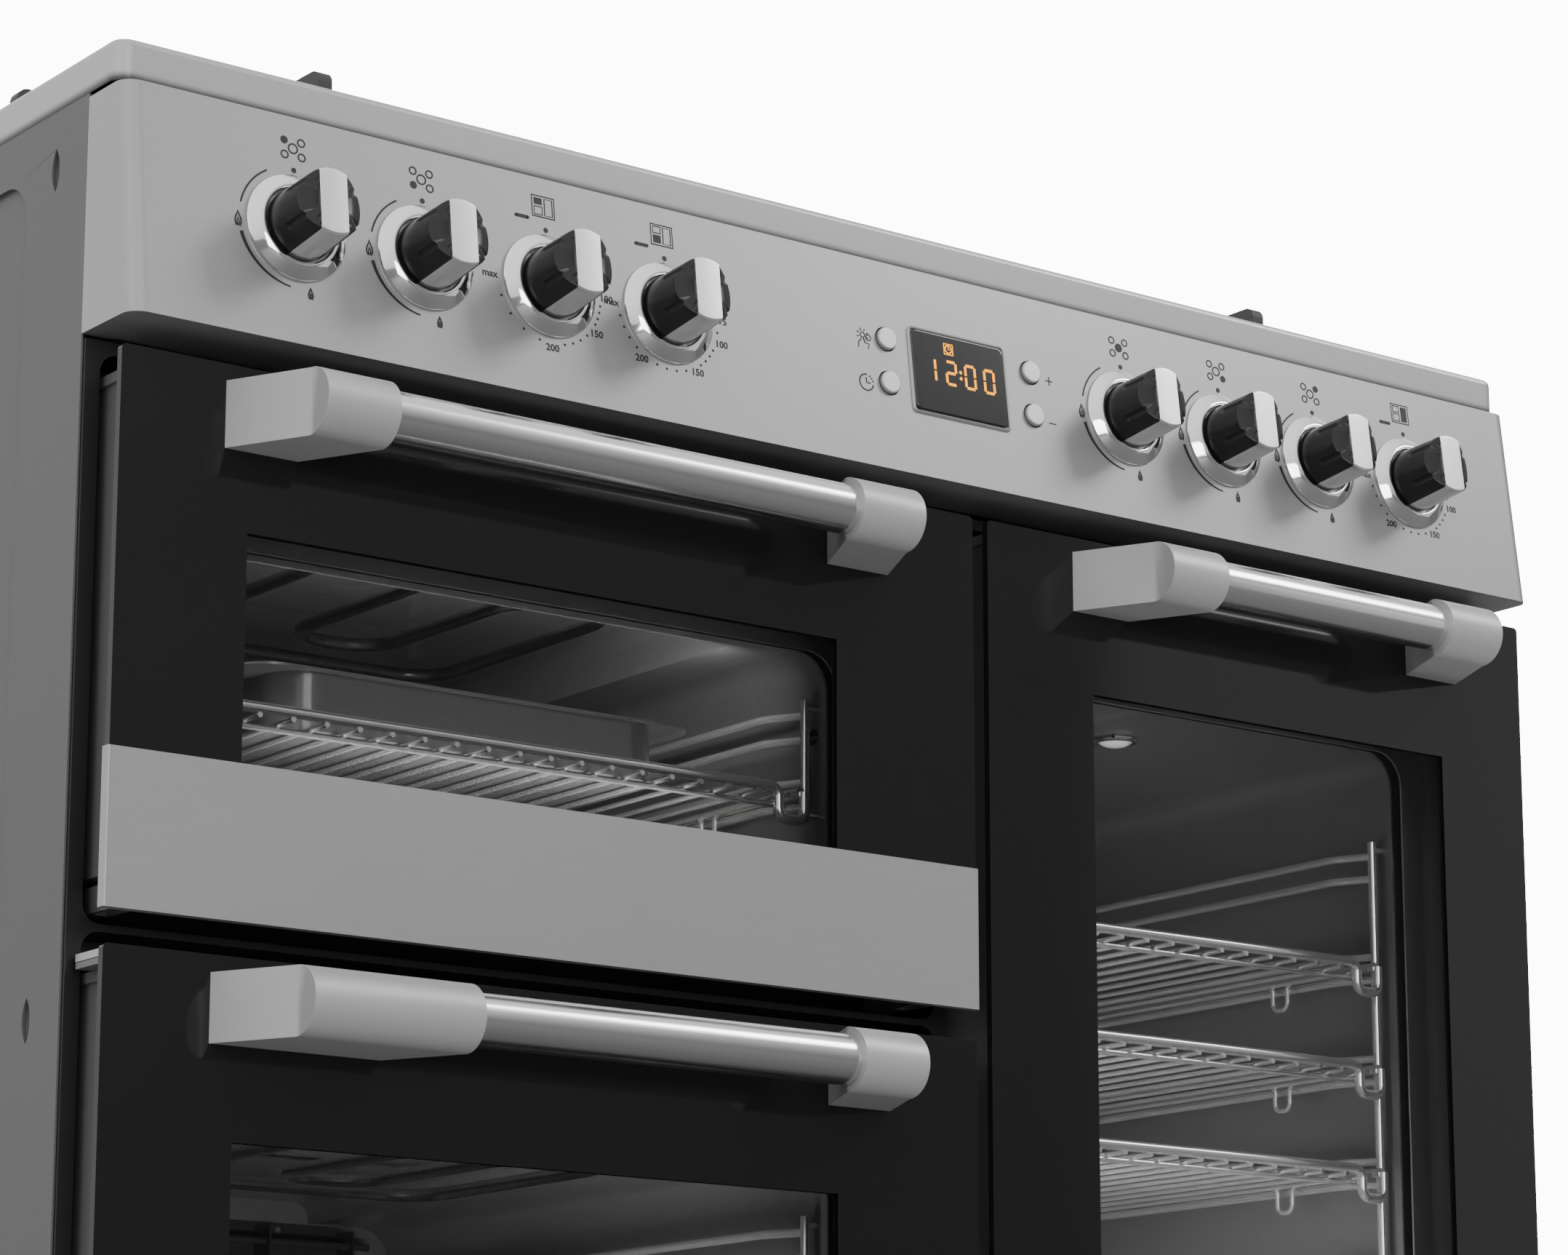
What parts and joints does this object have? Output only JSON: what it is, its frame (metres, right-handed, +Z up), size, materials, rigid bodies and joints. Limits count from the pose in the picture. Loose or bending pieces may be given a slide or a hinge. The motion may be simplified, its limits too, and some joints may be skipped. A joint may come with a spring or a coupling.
{
  "type": "range cooker",
  "caption": "Free-standing range cooker: gas hob with pan supports above a tilted control fascia and several ovens behind glass doors with bar handles.",
  "frame": {"origin": "under the middle of the whole cooker's box, on the floor", "axes": "+X to the right as a cook faces the doors, +Y from the doors to the wall, +Z up"},
  "size_m": [0.9, 0.684, 0.93],
  "materials": {
    "grey_paint": "satin",
    "galvanised": "satin",
    "black_plastic": "matte",
    "black_paint": "satin",
    "foot_plastic": "matte",
    "stainless": "brushed",
    "burner_aluminium": "satin",
    "black_enamel": "glossy",
    "iron": "matte",
    "chrome": "polished",
    "display_plastic": "glossy",
    "brass": "satin",
    "element_steel": "satin",
    "seal_rubber": "matte",
    "door_glass": "polished",
    "liner_paint": "satin",
    "handle_steel": "satin",
    "spindle_steel": "satin",
    "knob_plastic": "satin",
    "button_plastic": "satin"
  },
  "bodies": {
    "cooker_body": {"side_panel_left": "grey_paint", "side_panel_right": "grey_paint", "back_panel": "galvanised", "mains_terminal_box": "black_plastic", "base_tray": "galvanised", "plinth": "black_paint", "levelling_feet": "foot_plastic", "front_frame": "black_paint", "hob_tray": "stainless", "burner_bodies": "burner_aluminium", "burner_caps": "black_enamel", "control_panel": "stainless", "knob_bezels": "chrome", "timer_module": "display_plastic", "gas_rail_and_taps": "brass", "oven_controls": "black_plastic", "oven_cavity_top_left": "black_enamel", "oven_cavity_lower_left": "black_enamel", "oven_cavity_right": "black_enamel", "heating_elements": "element_steel", "shelf_rails": "chrome", "fan_guard_and_motor": "black_enamel", "door_seals": "seal_rubber", "door_hinge_brackets": "galvanised"},
    "pan_support_left": {"pan_support_left": "iron"},
    "pan_support_right": {"pan_support_right": "iron"},
    "pan_support_centre": {"pan_support_centre": "iron"},
    "oven_fan": {"oven_fan": "burner_aluminium"},
    "top_left_door": {"top_left_door_glass": "door_glass", "top_left_door_liner": "liner_paint", "top_left_door_handle": "handle_steel", "top_left_door_trim_band": "stainless"},
    "lower_left_door": {"lower_left_door_glass": "door_glass", "lower_left_door_liner": "liner_paint", "lower_left_door_handle": "handle_steel"},
    "right_door": {"right_door_glass": "door_glass", "right_door_liner": "liner_paint", "right_door_handle": "handle_steel"},
    "grill_shelf": {"grill_shelf": "chrome", "grill_pan": "black_enamel"},
    "oven_rack_upper": {"oven_rack_upper": "chrome"},
    "oven_rack_middle": {"oven_rack_middle": "chrome"},
    "oven_rack_lower": {"oven_rack_lower": "chrome"},
    "tap_spindle_rear_left_burner": {"tap_spindle_rear_left_burner": "spindle_steel"},
    "knob_rear_left_burner": {"knob_rear_left_burner": "knob_plastic"},
    "tap_spindle_front_left_burner": {"tap_spindle_front_left_burner": "spindle_steel"},
    "knob_front_left_burner": {"knob_front_left_burner": "knob_plastic"},
    "tap_spindle_centre_burner": {"tap_spindle_centre_burner": "spindle_steel"},
    "knob_centre_burner": {"knob_centre_burner": "knob_plastic"},
    "tap_spindle_front_right_burner": {"tap_spindle_front_right_burner": "spindle_steel"},
    "knob_front_right_burner": {"knob_front_right_burner": "knob_plastic"},
    "tap_spindle_rear_right_burner": {"tap_spindle_rear_right_burner": "spindle_steel"},
    "knob_rear_right_burner": {"knob_rear_right_burner": "knob_plastic"},
    "knob_top_left_oven": {"knob_top_left_oven": "knob_plastic"},
    "knob_lower_left_oven": {"knob_lower_left_oven": "knob_plastic"},
    "knob_right_oven": {"knob_right_oven": "knob_plastic"},
    "button_light": {"button_light": "button_plastic"},
    "button_clock": {"button_clock": "button_plastic"},
    "button_plus": {"button_plus": "button_plastic"},
    "button_minus": {"button_minus": "button_plastic"}
  },
  "joints": [
    {"name": "pan_support_left_lift", "type": "slide", "parent": "cooker_body", "child": "pan_support_left", "axis": [0, 0, 1], "range_m": [0, 0.15]},
    {"name": "pan_support_right_lift", "type": "slide", "parent": "cooker_body", "child": "pan_support_right", "axis": [0, 0, 1], "range_m": [0, 0.15]},
    {"name": "pan_support_centre_lift", "type": "slide", "parent": "cooker_body", "child": "pan_support_centre", "axis": [0, 0, 1], "range_m": [0, 0.15]},
    {"name": "oven_fan_spin", "type": "hinge", "parent": "cooker_body", "child": "oven_fan", "pos_m": [-0.2014, 0.186, 0.284], "axis": [0, 1, 0], "continuous": true},
    {"name": "top_left_door_drop", "type": "hinge", "parent": "cooker_body", "child": "top_left_door", "pos_m": [-0.2014, -0.274, 0.502], "axis": [1, 0, 0], "range_deg": [0, 90], "stiffness_Nm_per_rad": 2, "springref_deg": -34.38},
    {"name": "lower_left_door_swing", "type": "hinge", "parent": "cooker_body", "child": "lower_left_door", "pos_m": [-0.441, -0.274, 0.3], "axis": [0, 0, -1], "range_deg": [0, 100]},
    {"name": "right_door_swing", "type": "hinge", "parent": "cooker_body", "child": "right_door", "pos_m": [0.441, -0.274, 0.43], "axis": [0, 0, 1], "range_deg": [0, 100]},
    {"name": "grill_shelf_slide", "type": "slide", "parent": "cooker_body", "child": "grill_shelf", "axis": [0, -1, 0], "range_m": [0, 0.14]},
    {"name": "oven_rack_upper_slide", "type": "slide", "parent": "cooker_body", "child": "oven_rack_upper", "axis": [0, -1, 0], "range_m": [0, 0.077]},
    {"name": "oven_rack_middle_slide", "type": "slide", "parent": "cooker_body", "child": "oven_rack_middle", "axis": [0, -1, 0], "range_m": [0, 0.077]},
    {"name": "oven_rack_lower_slide", "type": "slide", "parent": "cooker_body", "child": "oven_rack_lower", "axis": [0, -1, 0], "range_m": [0, 0.077]},
    {"name": "knob_rear_left_burner_turn", "type": "hinge", "parent": "cooker_body", "child": "tap_spindle_rear_left_burner", "pos_m": [-0.3621, -0.28819, 0.8205], "axis": [0, -0.9931, 0.1175], "range_deg": [0, 210]},
    {"name": "knob_rear_left_burner_push", "type": "slide", "parent": "tap_spindle_rear_left_burner", "child": "knob_rear_left_burner", "axis": [0, 0.9931, -0.1175], "range_m": [0, 0.003], "stiffness_N_per_m": 1000, "springref_m": -0.002},
    {"name": "knob_front_left_burner_turn", "type": "hinge", "parent": "cooker_body", "child": "tap_spindle_front_left_burner", "pos_m": [-0.2914, -0.28819, 0.8205], "axis": [0, -0.9931, 0.1175], "range_deg": [0, 210]},
    {"name": "knob_front_left_burner_push", "type": "slide", "parent": "tap_spindle_front_left_burner", "child": "knob_front_left_burner", "axis": [0, 0.9931, -0.1175], "range_m": [0, 0.003], "stiffness_N_per_m": 1000, "springref_m": -0.002},
    {"name": "knob_centre_burner_turn", "type": "hinge", "parent": "cooker_body", "child": "tap_spindle_centre_burner", "pos_m": [0.15, -0.28819, 0.8205], "axis": [0, -0.9931, 0.1175], "range_deg": [0, 210]},
    {"name": "knob_centre_burner_push", "type": "slide", "parent": "tap_spindle_centre_burner", "child": "knob_centre_burner", "axis": [0, 0.9931, -0.1175], "range_m": [0, 0.003], "stiffness_N_per_m": 1000, "springref_m": -0.002},
    {"name": "knob_front_right_burner_turn", "type": "hinge", "parent": "cooker_body", "child": "tap_spindle_front_right_burner", "pos_m": [0.2207, -0.28819, 0.8205], "axis": [0, -0.9931, 0.1175], "range_deg": [0, 210]},
    {"name": "knob_front_right_burner_push", "type": "slide", "parent": "tap_spindle_front_right_burner", "child": "knob_front_right_burner", "axis": [0, 0.9931, -0.1175], "range_m": [0, 0.003], "stiffness_N_per_m": 1000, "springref_m": -0.002},
    {"name": "knob_rear_right_burner_turn", "type": "hinge", "parent": "cooker_body", "child": "tap_spindle_rear_right_burner", "pos_m": [0.2914, -0.28819, 0.8205], "axis": [0, -0.9931, 0.1175], "range_deg": [0, 210]},
    {"name": "knob_rear_right_burner_push", "type": "slide", "parent": "tap_spindle_rear_right_burner", "child": "knob_rear_right_burner", "axis": [0, 0.9931, -0.1175], "range_m": [0, 0.003], "stiffness_N_per_m": 1000, "springref_m": -0.002},
    {"name": "knob_top_left_oven_turn", "type": "hinge", "parent": "cooker_body", "child": "knob_top_left_oven", "pos_m": [-0.2207, -0.28819, 0.8205], "axis": [0, 0.9931, -0.1175], "range_deg": [0, 280]},
    {"name": "knob_lower_left_oven_turn", "type": "hinge", "parent": "cooker_body", "child": "knob_lower_left_oven", "pos_m": [-0.15, -0.28819, 0.8205], "axis": [0, 0.9931, -0.1175], "range_deg": [0, 280]},
    {"name": "knob_right_oven_turn", "type": "hinge", "parent": "cooker_body", "child": "knob_right_oven", "pos_m": [0.3621, -0.28819, 0.8205], "axis": [0, 0.9931, -0.1175], "range_deg": [0, 280]},
    {"name": "button_light_press", "type": "slide", "parent": "cooker_body", "child": "button_light", "axis": [0, 0.9931, -0.1175], "range_m": [0, 0.0015], "stiffness_N_per_m": 800, "springref_m": -0.001},
    {"name": "button_clock_press", "type": "slide", "parent": "cooker_body", "child": "button_clock", "axis": [0, 0.9931, -0.1175], "range_m": [0, 0.0015], "stiffness_N_per_m": 800, "springref_m": -0.001},
    {"name": "button_plus_press", "type": "slide", "parent": "cooker_body", "child": "button_plus", "axis": [0, 0.9931, -0.1175], "range_m": [0, 0.0015], "stiffness_N_per_m": 800, "springref_m": -0.001},
    {"name": "button_minus_press", "type": "slide", "parent": "cooker_body", "child": "button_minus", "axis": [0, 0.9931, -0.1175], "range_m": [0, 0.0015], "stiffness_N_per_m": 800, "springref_m": -0.001}
  ],
  "couplings": [
    {"joint": "grill_shelf_slide", "follows": "top_left_door_drop", "m_per_rad": 0.085},
    {"joint": "oven_rack_upper_slide", "follows": "right_door_swing", "m_per_rad": 0.042},
    {"joint": "oven_rack_middle_slide", "follows": "right_door_swing", "m_per_rad": 0.042},
    {"joint": "oven_rack_lower_slide", "follows": "right_door_swing", "m_per_rad": 0.042}
  ]
}
